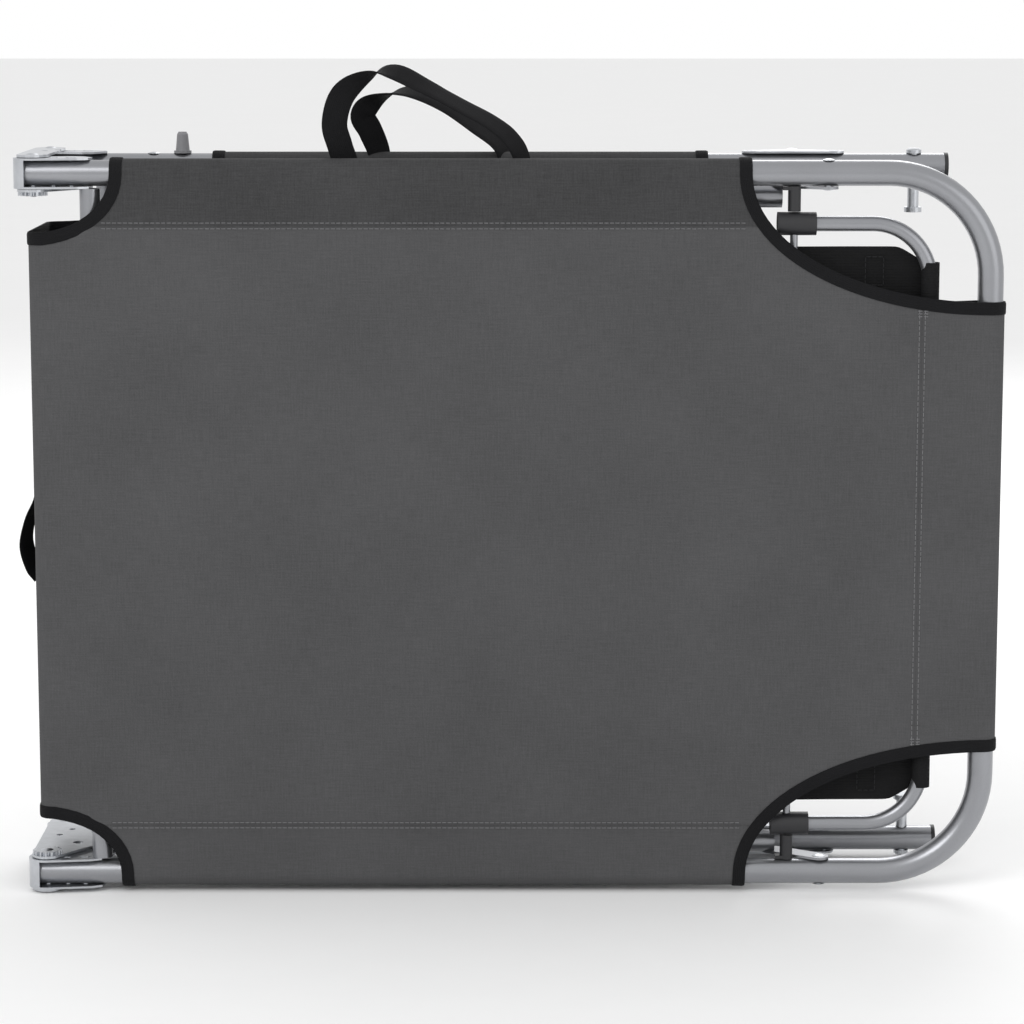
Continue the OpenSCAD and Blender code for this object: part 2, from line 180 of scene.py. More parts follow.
def weave_group():
    """Threads that cross: a height, and a tint that strays from 1 as the yarns do."""
    found = bpy.data.node_groups.get("Woven threads")
    if found:
        return found
    group, given, made = new_group(
        "Woven threads",
        [("Vector", "NodeSocketVector", None), ("Threads per metre", "NodeSocketFloat", 900.0),
         ("Mottle", "NodeSocketFloat", 0.2)],
        [("Height", "NodeSocketFloat"), ("Tint", "NodeSocketFloat")])
    split = group.nodes.new("ShaderNodeSeparateXYZ")
    group.links.new(given.outputs["Vector"], split.inputs[0])
    turns = math_node(group, "MULTIPLY", given.outputs["Threads per metre"], math.tau)
    waves = [
        math_node(group, "SINE", math_node(group, "MULTIPLY", split.outputs[axis], turns))
        for axis in (0, 1)
    ]
    over = math_node(group, "MULTIPLY", waves[0], waves[1])
    stretched = []
    for scale in ((60.0, 900.0, 1.0), (900.0, 60.0, 1.0)):
        mapping = group.nodes.new("ShaderNodeMapping")
        mapping.inputs["Scale"].default_value = scale
        group.links.new(given.outputs["Vector"], mapping.inputs["Vector"])
        stretched.append(noise_value(group, mapping.outputs[0], 1.0, 3.0))
    yarns = math_node(group, "ADD", stretched[0], stretched[1])
    specks = noise_value(group, given.outputs["Vector"], 700.0, 4.0)
    clouds = noise_value(group, given.outputs["Vector"], 9.0, 3.0)
    total = math_node(group, "ADD", math_node(group, "ADD", yarns, specks), clouds)
    spread = math_node(group, "MULTIPLY", math_node(group, "SUBTRACT", total, 2.0), given.outputs["Mottle"])
    group.links.new(math_node(group, "ADD", spread, 1.0), made.inputs["Tint"])
    group.links.new(
        math_node(group, "ADD", math_node(group, "MULTIPLY", over, 0.5), specks), made.inputs["Height"])
    return group


def grain_group():
    """Fine unevenness of a hard surface: a tint, a roughness that strays, and a height."""
    found = bpy.data.node_groups.get("Surface grain")
    if found:
        return found
    group, given, made = new_group(
        "Surface grain",
        [("Vector", "NodeSocketVector", None), ("Scale", "NodeSocketFloat", 300.0),
         ("Spread", "NodeSocketFloat", 0.1), ("Roughness", "NodeSocketFloat", 0.4)],
        [("Tint", "NodeSocketFloat"), ("Roughness", "NodeSocketFloat"), ("Height", "NodeSocketFloat")])
    texture = group.nodes.new("ShaderNodeTexNoise")
    texture.inputs["Detail"].default_value = 4.0
    group.links.new(given.outputs["Vector"], texture.inputs["Vector"])
    group.links.new(given.outputs["Scale"], texture.inputs["Scale"])
    wear = noise_value(group, given.outputs["Vector"], 22.0, 5.0)
    stray = math_node(group, "SUBTRACT", texture.outputs["Fac"], 0.5)
    worn = math_node(group, "SUBTRACT", wear, 0.5)
    both = math_node(group, "MULTIPLY", math_node(group, "ADD", stray, worn), given.outputs["Spread"])
    group.links.new(math_node(group, "ADD", both, 1.0), made.inputs["Tint"])
    group.links.new(math_node(group, "ADD", given.outputs["Roughness"],
                              math_node(group, "MULTIPLY", worn, given.outputs["Spread"])),
                    made.inputs["Roughness"])
    group.links.new(texture.outputs["Fac"], made.inputs["Height"])
    return group


def start_material(name, colour):
    """A material with a Principled shader, its tree and its colour multiplied by a tint socket."""
    material = bpy.data.materials.new(name)
    material.use_nodes = True
    tree = material.node_tree
    shader = tree.nodes["Principled BSDF"]
    material.diffuse_color = (*colour, 1.0)
    return material, tree, shader


def tint_colour(tree, shader, colour, tint):
    """Feeds colour times tint to the shader's base colour."""
    mix = tree.nodes.new("ShaderNodeVectorMath")
    mix.operation = "SCALE"
    mix.inputs[0].default_value = colour
    tree.links.new(tint, mix.inputs["Scale"])
    tree.links.new(mix.outputs[0], shader.inputs["Base Color"])


def add_bump(tree, shader, height, distance, strength=1.0):
    bump = tree.nodes.new("ShaderNodeBump")
    bump.inputs["Distance"].default_value = distance
    bump.inputs["Strength"].default_value = strength
    tree.links.new(height, bump.inputs["Height"])
    tree.links.new(bump.outputs["Normal"], shader.inputs["Normal"])


def band_mask(tree, value, centre, width):
    """1 at centre and 0 further than width from it."""
    away = math_node(tree, "ABSOLUTE", math_node(tree, "SUBTRACT", value, centre))
    near = math_node(tree, "SUBTRACT", 1.0, math_node(tree, "DIVIDE", away, width))
    return math_node(tree, "MAXIMUM", near, 0.0)


def cloth_material():
    """Grey woven cloth, with puckers along its seams, a painted shadow line along each seam and painted shade
    darkening the band at its upper sleeve.
    """
    found = bpy.data.materials.get("Grey cloth")
    if found:
        return found
    material, tree, shader = start_material("Grey cloth", colours().cloth)
    uv = tree.nodes.new("ShaderNodeUVMap")
    uv.uv_map = "UVMap"
    weave = tree.nodes.new("ShaderNodeGroup")
    weave.node_tree = weave_group()
    weave.inputs["Threads per metre"].default_value = 900.0
    weave.inputs["Mottle"].default_value = 0.34
    tree.links.new(uv.outputs[0], weave.inputs["Vector"])
    split = tree.nodes.new("ShaderNodeSeparateXYZ")
    tree.links.new(uv.outputs[0], split.inputs[0])
    across = split.outputs[1]
    seam_at = HALF - BAND
    from_seam = math_node(tree, "ABSOLUTE", across)
    seam = band_mask(tree, from_seam, seam_at, 7 * MM)
    end_seam = band_mask(tree, split.outputs[0], END_X - END_FLAP, 7 * MM)
    seams = math_node(tree, "MAXIMUM", seam, end_seam)
    puckers = math_node(tree, "MULTIPLY", seams, noise_value(tree, uv.outputs[0], 130.0, 1.0))
    # painted shadow: a thin darker line along each row of seams, taken off the tint below
    line = math_node(tree, "MAXIMUM", band_mask(tree, from_seam, seam_at, 1.2 * MM),
                     band_mask(tree, split.outputs[0], END_X - END_FLAP, 1.2 * MM))
    # painted shade: the band past the seam on the +Z (upper) side only is darkened, the lower band is not
    painted_shade_band = math_node(tree, "SMOOTH_MIN", math_node(
        tree, "MAXIMUM", math_node(tree, "MULTIPLY", math_node(
            tree, "SUBTRACT", across, seam_at - 2 * MM), 260.0), 0.0), 1.0, 0.3)
    # the painted seam shadow and the painted shade on the upper band are taken off the tint here
    tint = math_node(tree, "SUBTRACT", weave.outputs["Tint"], math_node(tree, "MULTIPLY", line, 0.22))
    tint = math_node(tree, "SUBTRACT", tint, math_node(tree, "MULTIPLY", painted_shade_band, 0.36))
    tint_colour(tree, shader, colours().cloth, tint)
    height = math_node(tree, "ADD", math_node(tree, "MULTIPLY", weave.outputs["Height"], 0.10),
                       math_node(tree, "MULTIPLY", puckers, 1.0))
    add_bump(tree, shader, height, 0.9 * MM)
    shader.inputs["Roughness"].default_value = 0.88
    shader.inputs["Specular IOR Level"].default_value = 0.2
    return material


def woven_material(name, colour, threads, ribs, roughness=0.8):
    """Black cloth or webbing: cross threads, and ribs along its length."""
    found = bpy.data.materials.get(name)
    if found:
        return found
    material, tree, shader = start_material(name, colour)
    uv = tree.nodes.new("ShaderNodeUVMap")
    uv.uv_map = "UVMap"
    weave = tree.nodes.new("ShaderNodeGroup")
    weave.node_tree = weave_group()
    weave.inputs["Threads per metre"].default_value = threads
    weave.inputs["Mottle"].default_value = 0.45
    tree.links.new(uv.outputs[0], weave.inputs["Vector"])
    split = tree.nodes.new("ShaderNodeSeparateXYZ")
    tree.links.new(uv.outputs[0], split.inputs[0])
    rib = math_node(tree, "SINE", math_node(tree, "MULTIPLY", split.outputs[1], math.tau * ribs))
    tint_colour(tree, shader, colour, weave.outputs["Tint"])
    height = math_node(tree, "ADD", math_node(tree, "MULTIPLY", rib, 0.35), weave.outputs["Height"])
    add_bump(tree, shader, height, 0.25 * MM)
    shader.inputs["Roughness"].default_value = roughness
    shader.inputs["Specular IOR Level"].default_value = 0.15
    return material


def hard_material(name, colour, scale, spread, roughness, metallic, bump, coat=0.0):
    """Painted, plated or moulded surface with fine grain and a little wear."""
    found = bpy.data.materials.get(name)
    if found:
        return found
    material, tree, shader = start_material(name, colour)
    coordinates = tree.nodes.new("ShaderNodeTexCoord")
    grain = tree.nodes.new("ShaderNodeGroup")
    grain.node_tree = grain_group()
    for socket, value in (("Scale", scale), ("Spread", spread), ("Roughness", roughness)):
        grain.inputs[socket].default_value = value
    tree.links.new(coordinates.outputs["Object"], grain.inputs["Vector"])
    tint_colour(tree, shader, colour, grain.outputs["Tint"])
    tree.links.new(grain.outputs["Roughness"], shader.inputs["Roughness"])
    add_bump(tree, shader, grain.outputs["Height"], bump, 0.6)
    shader.inputs["Metallic"].default_value = metallic
    shader.inputs["Coat Weight"].default_value = coat
    return material


def tube_material():
    return hard_material("Silver coated tube", colours().tube, 900.0, 0.12, 0.3, 0.85, 0.06 * MM)


def zinc_material():
    return hard_material("Plated pressing", colours().zinc, 160.0, 0.3, 0.33, 1.0, 0.12 * MM)


def plastic_material():
    return hard_material("Black moulding", colours().plastic, 1400.0, 0.25, 0.5, 0.0, 0.08 * MM)


def peg_material():
    return hard_material("Grey moulding", (0.2, 0.2, 0.21), 1200.0, 0.2, 0.45, 0.0, 0.06 * MM)


def tape_material():
    return woven_material("Black tape", colours().binding, 1100.0, 700.0)


def thread_material():
    return woven_material("Grey thread", tuple(3.0 * c for c in colours().cloth), 2500.0, 2500.0, 0.6)


def floor_material():
    return hard_material("Studio floor", colours().floor, 3.0, 0.02, 0.9, 0.0, 0.02 * MM)


def shade_thread_material():
    return woven_material("Shade thread", (0.03, 0.03, 0.032), 2500.0, 2500.0)


# Mesh helpers


def only(obj):
    """Selects and activates one object."""
    bpy.ops.object.select_all(action="DESELECT")
    obj.select_set(True)
    bpy.context.view_layer.objects.active = obj


def object_from(name, points, faces, uvs, material):
    """A mesh object with one UV pair for each point."""
    mesh = bpy.data.meshes.new(name)
    mesh.from_pydata([tuple(p) for p in points], [], faces)
    layer = mesh.uv_layers.new(name="UVMap")
    for loop in mesh.loops:
        layer.data[loop.index].uv = uvs[loop.vertex_index]
    obj = bpy.data.objects.new(name, mesh)
    bpy.context.scene.collection.objects.link(obj)
    mesh.materials.append(material)
    return obj


def grid_faces(rows, columns, start=0, ring=False):
    """Quads between rows of points, closed across if ring."""
    faces = []
    for i in range(rows - 1):
        for j in range(columns if ring else columns - 1):
            k = (j + 1) % columns
            a = start + i * columns
            faces.append((a + j, a + k, a + columns + k, a + columns + j))
    return faces


def sheet_object(name, grids, material, thickness, levels=1):
    """Cloth from grids of (points, uvs) rows that share their edges, given its thickness."""
    points, uvs, faces = [], [], []
    for rows, marks in grids:
        faces += grid_faces(len(rows), len(rows[0]), len(points))
        points += [p for row in rows for p in row]
        uvs += [m for row in marks for m in row]
    obj = object_from(name, points, faces, uvs, material)
    only(obj)
    bpy.ops.object.mode_set(mode="EDIT")
    bpy.ops.mesh.select_all(action="SELECT")
    bpy.ops.mesh.remove_doubles(threshold=0.02 * MM)
    bpy.ops.mesh.normals_make_consistent(inside=False)
    bpy.ops.object.mode_set(mode="OBJECT")
    if levels:
        smooth = obj.modifiers.new("smooth", "SUBSURF")
        smooth.levels = smooth.render_levels = levels
        bpy.ops.object.modifier_apply(modifier="smooth")
    thick = obj.modifiers.new("thick", "SOLIDIFY")
    thick.thickness = thickness
    thick.offset = 0.0
    bpy.ops.object.modifier_apply(modifier="thick")
    bpy.ops.object.shade_smooth_by_angle(angle=math.radians(50))
    return obj


def loft(name, rings, material, along):
    """A closed skin over rings of points, with flat ends. along is the length at each ring."""
    columns = len(rings[0])
    faces = grid_faces(len(rings), columns, ring=True)
    last = (len(rings) - 1) * columns
    faces.append(tuple(range(columns))[::-1])
    faces.append(tuple(last + j for j in range(columns)))
    uvs = []
    for ring, s in zip(rings, along):
        across = 0.0
        for j, p in enumerate(ring):
            across += (p - ring[j - 1]).length if j else 0.0
            uvs.append((s, across))
    obj = object_from(name, [p for ring in rings for p in ring], faces, uvs, material)
    only(obj)
    bpy.ops.object.mode_set(mode="EDIT")
    bpy.ops.mesh.select_all(action="SELECT")
    bpy.ops.mesh.normals_make_consistent(inside=False)
    bpy.ops.object.mode_set(mode="OBJECT")
    bpy.ops.object.shade_smooth_by_angle(angle=math.radians(50))
    return obj


def joined(name, objects):
    """Several objects made one, under one name."""
    bpy.ops.object.select_all(action="DESELECT")
    for obj in objects:
        obj.select_set(True)
    bpy.context.view_layer.objects.active = objects[0]
    bpy.ops.object.join()
    objects[0].name = name
    return objects[0]


def smooth_path(points, steps):
    """A curve through given points, by Catmull-Rom spans."""
    p = [Vector(q) for q in points]
    p = [2 * p[0] - p[1]] + p + [2 * p[-1] - p[-2]]
    made = []
    for i in range(1, len(p) - 2):
        for k in range(steps):
            t = k / steps
            made.append(0.5 * (2 * p[i] + (p[i + 1] - p[i - 1]) * t
                               + (2 * p[i - 1] - 5 * p[i] + 4 * p[i + 1] - p[i + 2]) * t * t
                               + (3 * p[i] - p[i - 1] - 3 * p[i + 1] + p[i + 2]) * t ** 3))
    return made + [p[-2]]


def lengths(points):
    """The length along a line of points at each of them."""
    total, made = 0.0, [0.0]
    for a, b in zip(points, points[1:]):
        total += (b - a).length
        made.append(total)
    return made


def ribbon(name, path, sides, width, thickness, material):
    """Webbing along a path. sides are the directions across it, one for each point."""
    rings = []
    for i, p in enumerate(path):
        run = (path[min(i + 1, len(path) - 1)] - path[max(i - 1, 0)]).normalized()
        side = (sides[i] - run * sides[i].dot(run)).normalized()
        up = run.cross(side)
        shape = [(-0.5, 0.0), (-0.46, 0.5), (-0.2, 0.42), (0.2, 0.42), (0.46, 0.5), (0.5, 0.0),
                 (0.46, -0.5), (0.2, -0.42), (-0.2, -0.42), (-0.46, -0.5)]
        rings.append([p + side * (a * width) + up * (b * thickness) for a, b in shape])
    return loft(name, rings, material, lengths(path))


def arc(centre_x, centre_y, radius, start, end, count):
    """Points x, y round a centre, from start to end degrees."""
    return [(centre_x + radius * math.cos(math.radians(start + (end - start) * i / count)),
             centre_y + radius * math.sin(math.radians(start + (end - start) * i / count)))
            for i in range(count + 1)]


def ellipse_width(x, corner_x, reach, full, cut):
    """Half width of a panel whose corner is cut back by a quarter ellipse centred outside it."""
    share = min(abs(x - corner_x) / reach, 1.0)
    return full - cut * math.sqrt(max(0.0, 1.0 - share * share))


def tangent_angle(reach, drop, radius):
    """Where a flap that comes from a seam at reach and drop from a tube's centre meets the tube."""
    far = math.hypot(reach, drop)
    return 180.0 + math.degrees(math.atan2(drop, reach)) - math.degrees(math.acos(radius / far))


def ellipse_steps(corner_x, reach, count):
    """Places along X that share out a quarter ellipse evenly, from its corner to its end."""
    return [corner_x + reach * math.sin(math.radians(90.0 * i / count)) for i in range(count + 1)]


def steps(a, b, pitch):
    count = max(1, round(abs(b - a) / pitch))
    return [a + (b - a) * i / count for i in range(count + 1)]


class Cover:
    """A sewn cover: the rows of a main sheet, with half widths, and sleeves on its long edges."""

    columns = 60

    def __init__(self, path, half_width, middle_z, relief):
        self.path, self.half_width = path, half_width
        self.middle_z = middle_z
        self.rows, self.marks = [], []
        line = [Vector((x, y, 0.0)) for x, y in path]
        run = lengths(line)
        # the length mark is X itself along the flat run
        flat = min(range(len(path)), key=lambda i: abs(path[i][0]))
        sign = 1.0 if path[-1][0] > path[0][0] else -1.0
        self.run = [path[flat][0] + sign * (s - run[flat]) for s in run]
        for i, (x, y) in enumerate(path):
            before, after = line[max(i - 1, 0)], line[min(i + 1, len(line) - 1)]
            along = (after - before).normalized()
            out = Vector((along.y, -along.x, 0.0))
            half = half_width[i]
            row, marks = [], []
            for j in range(self.columns + 1):
                z = half * (2.0 * j / self.columns - 1.0)
                lift = relief(x, y, z)
                row.append(Vector((x, y, middle_z + z)) + out * lift)
                marks.append((self.run[i], z))
            self.rows.append(row)
            self.marks.append(marks)

    def sleeve(self, first, last, side, centre_y, radius, turn, band):
        """The grid of a sleeve from row first to row last. turn is 1 where it wraps towards +Y."""
        end = tangent_angle(band, 0.9 * radius, radius)
        rows, marks = [], []
        for i in range(first, last + 1):
            x = self.path[i][0]
            edge = self.rows[i][-1 if side > 0 else 0]
            half = self.half_width[i]
            row, mark = [edge.copy()], [(self.run[i], side * half)]
            angles = [-90.0 + (end + 90.0) * k / 18 for k in range(1, 19)]
            for a in angles:
                y = centre_y + turn * radius * math.sin(math.radians(a))
                z = self.middle_z + side * (half + radius * math.cos(math.radians(a)))
                row.append(Vector((x, y, z)))
                mark.append((self.run[i], side * (half + radius * math.radians(a + 90.0))))
            seam = Vector((x, centre_y - turn * 0.88 * radius, self.middle_z + side * (half - band)))
            for k in range(1, 4):
                row.append(row[18].lerp(seam, k / 3))
                mark.append((self.run[i], mark[18][1] + side * (row[-1] - row[18]).length))
            rows.append(row)
            marks.append(mark)
        return rows, marks

    def edge(self, indices, side, corner_x, corner_half):
        """(point, point further in) pairs along an edge and the cut round the corner it leads to."""
        pairs = []
        narrow = self.half_width[indices[0]]
        for i in indices:
            row = self.rows[i]
            p = row[-1 if side > 0 else 0]
            corner = Vector((corner_x, p.y, self.middle_z + side * corner_half))
            cut = self.half_width[i] > narrow + 0.1 * MM
            pairs.append((p, p + (p - corner) if cut else row[self.columns // 2]))
        return pairs


def binding(name, pairs, width, thickness):
    """Tape folded over an edge, given (edge point, point inside it) pairs."""
    rings = []
    path = [p for p, _ in pairs]
    for i, (p, inside) in enumerate(pairs):
        run = (path[min(i + 1, len(path) - 1)] - path[max(i - 1, 0)]).normalized()
        inward = inside - p
        inward = (inward - run * inward.dot(run)).normalized()
        up = run.cross(inward)
        t = thickness / 2
        shape = [(width, t), (width * 0.85, t * 1.25), (width * 0.1, t * 1.3), (-0.8 * MM, t * 0.8),
                 (-0.8 * MM, -t * 0.8), (width * 0.1, -t * 1.3), (width * 0.85, -t * 1.25), (width, -t)]
        rings.append([p + inward * a + up * b for a, b in shape])
    return loft(name, rings, tape_material(), lengths(path))


def stitch_template():
    """One stitch: a short thread with rounded ends, lying along X."""
    bpy.ops.object.select_all(action="DESELECT")
    bpy.ops.mesh.primitive_cylinder_add(
        vertices=6, radius=0.36 * MM, depth=sizes().stitch_length, rotation=(0, math.pi / 2, 0))
    stitch = bpy.context.active_object
    bpy.ops.object.transform_apply(location=True, rotation=True, scale=True)
    bpy.ops.object.mode_set(mode="EDIT")
    bpy.ops.mesh.select_mode(type="FACE")
    bpy.ops.mesh.select_all(action="DESELECT")
    bpy.ops.object.mode_set(mode="OBJECT")
    for face in stitch.data.polygons:
        face.select = abs(face.normal.x) > 0.9
    bpy.ops.object.mode_set(mode="EDIT")
    bpy.ops.mesh.inset(thickness=0.14 * MM, depth=0.12 * MM, use_individual=True)
    bpy.ops.object.mode_set(mode="OBJECT")
    points = [v.co.copy() for v in stitch.data.vertices]
    faces = [tuple(f.vertices) for f in stitch.data.polygons]
    bpy.data.objects.remove(stitch)
    return points, faces


def stitching(name, places, material):
    """Copies of one stitch at (point, direction) places, as one piece."""
    shape, shape_faces = stitch_template()
    points, faces, uvs = [], [], []
    for place, direction in places:
        turn = Vector((1, 0, 0)).rotation_difference(direction)
        start = len(points)
        points += [place + turn @ p for p in shape]
        uvs += [(p.x, p.y) for p in shape]
        faces += [tuple(start + k for k in f) for f in shape_faces]
    return object_from(name, points, faces, uvs, material)


def row_of_stitches(a, b, lift):
    """Places for stitches from a to b. lift gives each its place on the cloth."""
    a, b = Vector(a), Vector(b)
    count = int((b - a).length / sizes().stitch_pitch)
    direction = (b - a).normalized()
    return [(lift(a.lerp(b, (i + 0.5) / count)), direction) for i in range(count)]


# Shape of the covers

HEAD_R = TUBE_R + WRAP
HEAD_Y = LINK_HEAD.y
SEAT_Y = LINK_SEAT.y
HEAD_SLEEVE = (LINK_HEAD.x + 61 * MM, END_X - 187 * MM)
SEAT_SLEEVE = (LINK_HEAD.x + 131 * MM, LINK_HEAD.x + 526 * MM)
SEAT_CLOTH_END = LINK_HEAD.x + 571 * MM
FOOT_CLOTH_START = LINK_HEAD.x + 570 * MM
FOOT_STRIP_HALF = 213 * MM  # half width where the foot cover turns beside its hinge
FOOT_FLAP = 50 * MM
FOOT_END_REACH = 125 * MM  # how far the cuts reach along the foot cover, at its end and start
FOOT_START_REACH = 99 * MM
FOOT_END_CUT = 70 * MM  # how far the same cuts take off its half width
FOOT_START_CUT = 40 * MM
SEAT_END_CUT = 60 * MM
HEAD_END_CUT = 100 * MM
END_HALF = HALF - HEAD_END_CUT
END_FLAP = 54 * MM
FOLD_X = LINK_HEAD.x + 7 * MM  # centre of the cloth's turn at the back hinge


def quiet(x, y, z):
    """Unevenness of taut cloth: slow waves, and faint drag lines towards its corners."""
    slow = noise.noise(Vector((x * 3.1, 7.3, z * 3.7)))
    drag = noise.noise(Vector((x * 5.0 + z * 2.0, 2.1, z * 16.0 - x * 3.0)))
    upright = noise.noise(Vector((x * 22.0, 4.4, z * 1.5)))
    return sizes().sag * (0.7 * slow + 0.25 * drag + 0.22 * upright)


def panel_relief(half, sign, x_low, x_high):
    """Relief of a panel that lies back from its sleeves between the rows of stitches."""
    def relief(x, y, z):
        edge = half - abs(z)
        into = min(max((edge - BAND + 4 * MM) / (9 * MM), 0.0), 1.0)
        ends = min(max((x - x_low) / (25 * MM), 0.0), 1.0) * min(max((x_high - x) / (25 * MM), 0.0), 1.0)
        into = into * into * (3 - 2 * into) * ends
        pull = min(max(edge / (30 * MM), 0.0), 1.0)
        return sign * into * 1.3 * MM + quiet(x, y, z) * pull * ends
    return relief


def head_cover_shape():
    """The head section's cover, from the flap at its end tube to the middle of the fold."""
    path, halves = [], []
    flap = (END_X - END_FLAP, HEAD_Y - 0.88 * HEAD_R)
    angle = tangent_angle(END_FLAP, 0.9 * HEAD_R, HEAD_R)
    around = arc(END_X, HEAD_Y, HEAD_R, angle, -90.0, 18)
    for k in range(3):
        share = k / 3
        path.append((flap[0] + (around[0][0] - flap[0]) * share, flap[1] + (around[0][1] - flap[1]) * share))
    path += around
    halves += [END_HALF] * len(path)
    front_y = HEAD_Y - HEAD_R
    cut_end = ellipse_steps(END_X, HEAD_SLEEVE[1] - END_X, 26)[1:]
    middle = steps(HEAD_SLEEVE[1], HEAD_SLEEVE[0], 8 * MM)[1:]
    cut_fold = ellipse_steps(LINK_HEAD.x, HEAD_SLEEVE[0] - LINK_HEAD.x, 12)[::-1][1:]
    first = len(path) + len(cut_end) - 1
    for x in cut_end:
        path.append((x, front_y))
        halves.append(ellipse_width(x, END_X, END_X - HEAD_SLEEVE[1], HALF, HEAD_END_CUT))
    for x in middle:
        path.append((x, front_y))
        halves.append(HALF)
    last = len(path) - 1
    for x in cut_fold:
        if x > FOLD_X + 1 * MM:
            path.append((x, front_y))
            halves.append(ellipse_width(x, LINK_HEAD.x, HEAD_SLEEVE[0] - LINK_HEAD.x, HALF, HALF - FOLD_HALF))
    turn = arc(FOLD_X, HEAD_Y, HEAD_R, 270.0, 180.0, 8)
    path += turn
    halves += [FOLD_HALF] * len(turn)
    for y in steps(HEAD_Y, FOLD_MID_Y, 7 * MM)[1:]:
        path.append((FOLD_X - HEAD_R, y))
        halves.append(FOLD_HALF)
    relief = panel_relief(HALF, -1.0, LINK_HEAD.x + 10 * MM, END_X - 5 * MM)
    cover = Cover(path, halves, MID_Z, lambda x, y, z: relief(x, y, z) if y < HEAD_Y - 0.9 * HEAD_R
                  and x < END_X - 1 * MM and x > FOLD_X else 0.0)
    return cover, first, last


def seat_cover_shape():
    """The seat's cover, from the middle of the fold to its end beside the foot hinge."""
    path = [(FOLD_X - HEAD_R, y) for y in steps(FOLD_MID_Y, SEAT_Y, 7 * MM)]
    path += arc(FOLD_X, SEAT_Y, HEAD_R, 180.0, 90.0, 8)[1:]
    halves = [FOLD_HALF] * len(path)
    back_y = SEAT_Y + HEAD_R
    cut = [x for x in ellipse_steps(LINK_HEAD.x, SEAT_SLEEVE[0] - LINK_HEAD.x, 16) if x > FOLD_X + 1 * MM]
    for x in cut:
        path.append((x, back_y))
        halves.append(ellipse_width(x, LINK_HEAD.x, SEAT_SLEEVE[0] - LINK_HEAD.x, HALF, HALF - FOLD_HALF))
    first = len(path) - 1
    for x in steps(SEAT_SLEEVE[0], SEAT_SLEEVE[1], 9 * MM)[1:]:
        path.append((x, back_y))
        halves.append(HALF)
    last = len(path) - 1
    reach = SEAT_CLOTH_END - SEAT_SLEEVE[1]
    for x in ellipse_steps(SEAT_CLOTH_END, -reach, 10)[::-1][1:]:
        path.append((x, back_y))
        halves.append(ellipse_width(x, SEAT_CLOTH_END, reach, HALF, SEAT_END_CUT))
    relief = panel_relief(HALF, 1.0, LINK_HEAD.x + 10 * MM, SEAT_CLOTH_END - 5 * MM)
    cover = Cover(path, halves, MID_Z, lambda x, y, z: -0.6 * relief(x, y, z) if x > FOLD_X else 0.0)
    return cover, first, last


def foot_cover_shape():
    """The foot section's cover, from under the seat cloth's end round its turn to its end tube."""
    radius = FOOT_R + WRAP
    front_y = FOOT_Y - radius
    seat_y = SEAT_Y + HEAD_R - 1.1 * MM
    turn_r = (front_y - seat_y) / 2
    turn_x = FOOT_HINGE.x - 8 * MM
    path = [(x, seat_y) for x in steps(SEAT_CLOTH_END - 14 * MM, turn_x, 6 * MM)]
    path += arc(turn_x, seat_y + turn_r, turn_r, -90.0, 90.0, 10)[1:]
    path += [(x, front_y) for x in steps(turn_x, FOOT_CLOTH_START, 6 * MM)[1:]]
    halves = [FOOT_STRIP_HALF] * len(path)
    sleeve = (FOOT_END_X + FOOT_END_REACH, FOOT_CLOTH_START - FOOT_START_REACH)
    for x in ellipse_steps(FOOT_CLOTH_START, sleeve[1] - FOOT_CLOTH_START, 14)[1:]:
        path.append((x, front_y))
        halves.append(ellipse_width(
            x, FOOT_CLOTH_START, FOOT_CLOTH_START - sleeve[1], FOOT_HALF, FOOT_START_CUT))
    first = len(path) - 1
    for x in steps(sleeve[1], sleeve[0], 9 * MM)[1:]:
        path.append((x, front_y))
        halves.append(FOOT_HALF)
    last = len(path) - 1
    for x in ellipse_steps(FOOT_END_X, FOOT_END_REACH, 16)[::-1][1:]:
        path.append((x, front_y))
        halves.append(ellipse_width(x, FOOT_END_X, FOOT_END_REACH, FOOT_HALF, FOOT_END_CUT))
    angle = tangent_angle(FOOT_FLAP, 0.9 * radius, radius)
    around = arc(FOOT_END_X, FOOT_Y, radius, 270.0, 180.0 - angle, 18)[1:]
    path += around
    flap = (FOOT_END_X + FOOT_FLAP, FOOT_Y - 0.88 * radius)
    for k in range(1, 4):
        path.append((around[-1][0] + (flap[0] - around[-1][0]) * k / 3,
                     around[-1][1] + (flap[1] - around[-1][1]) * k / 3))
    halves += [FOOT_HALF - FOOT_END_CUT] * (len(path) - len(halves))
    cover = Cover(path, halves, MID_Z, lambda x, y, z: 0.0)
    return cover, first, last, turn_x, seat_y, front_y


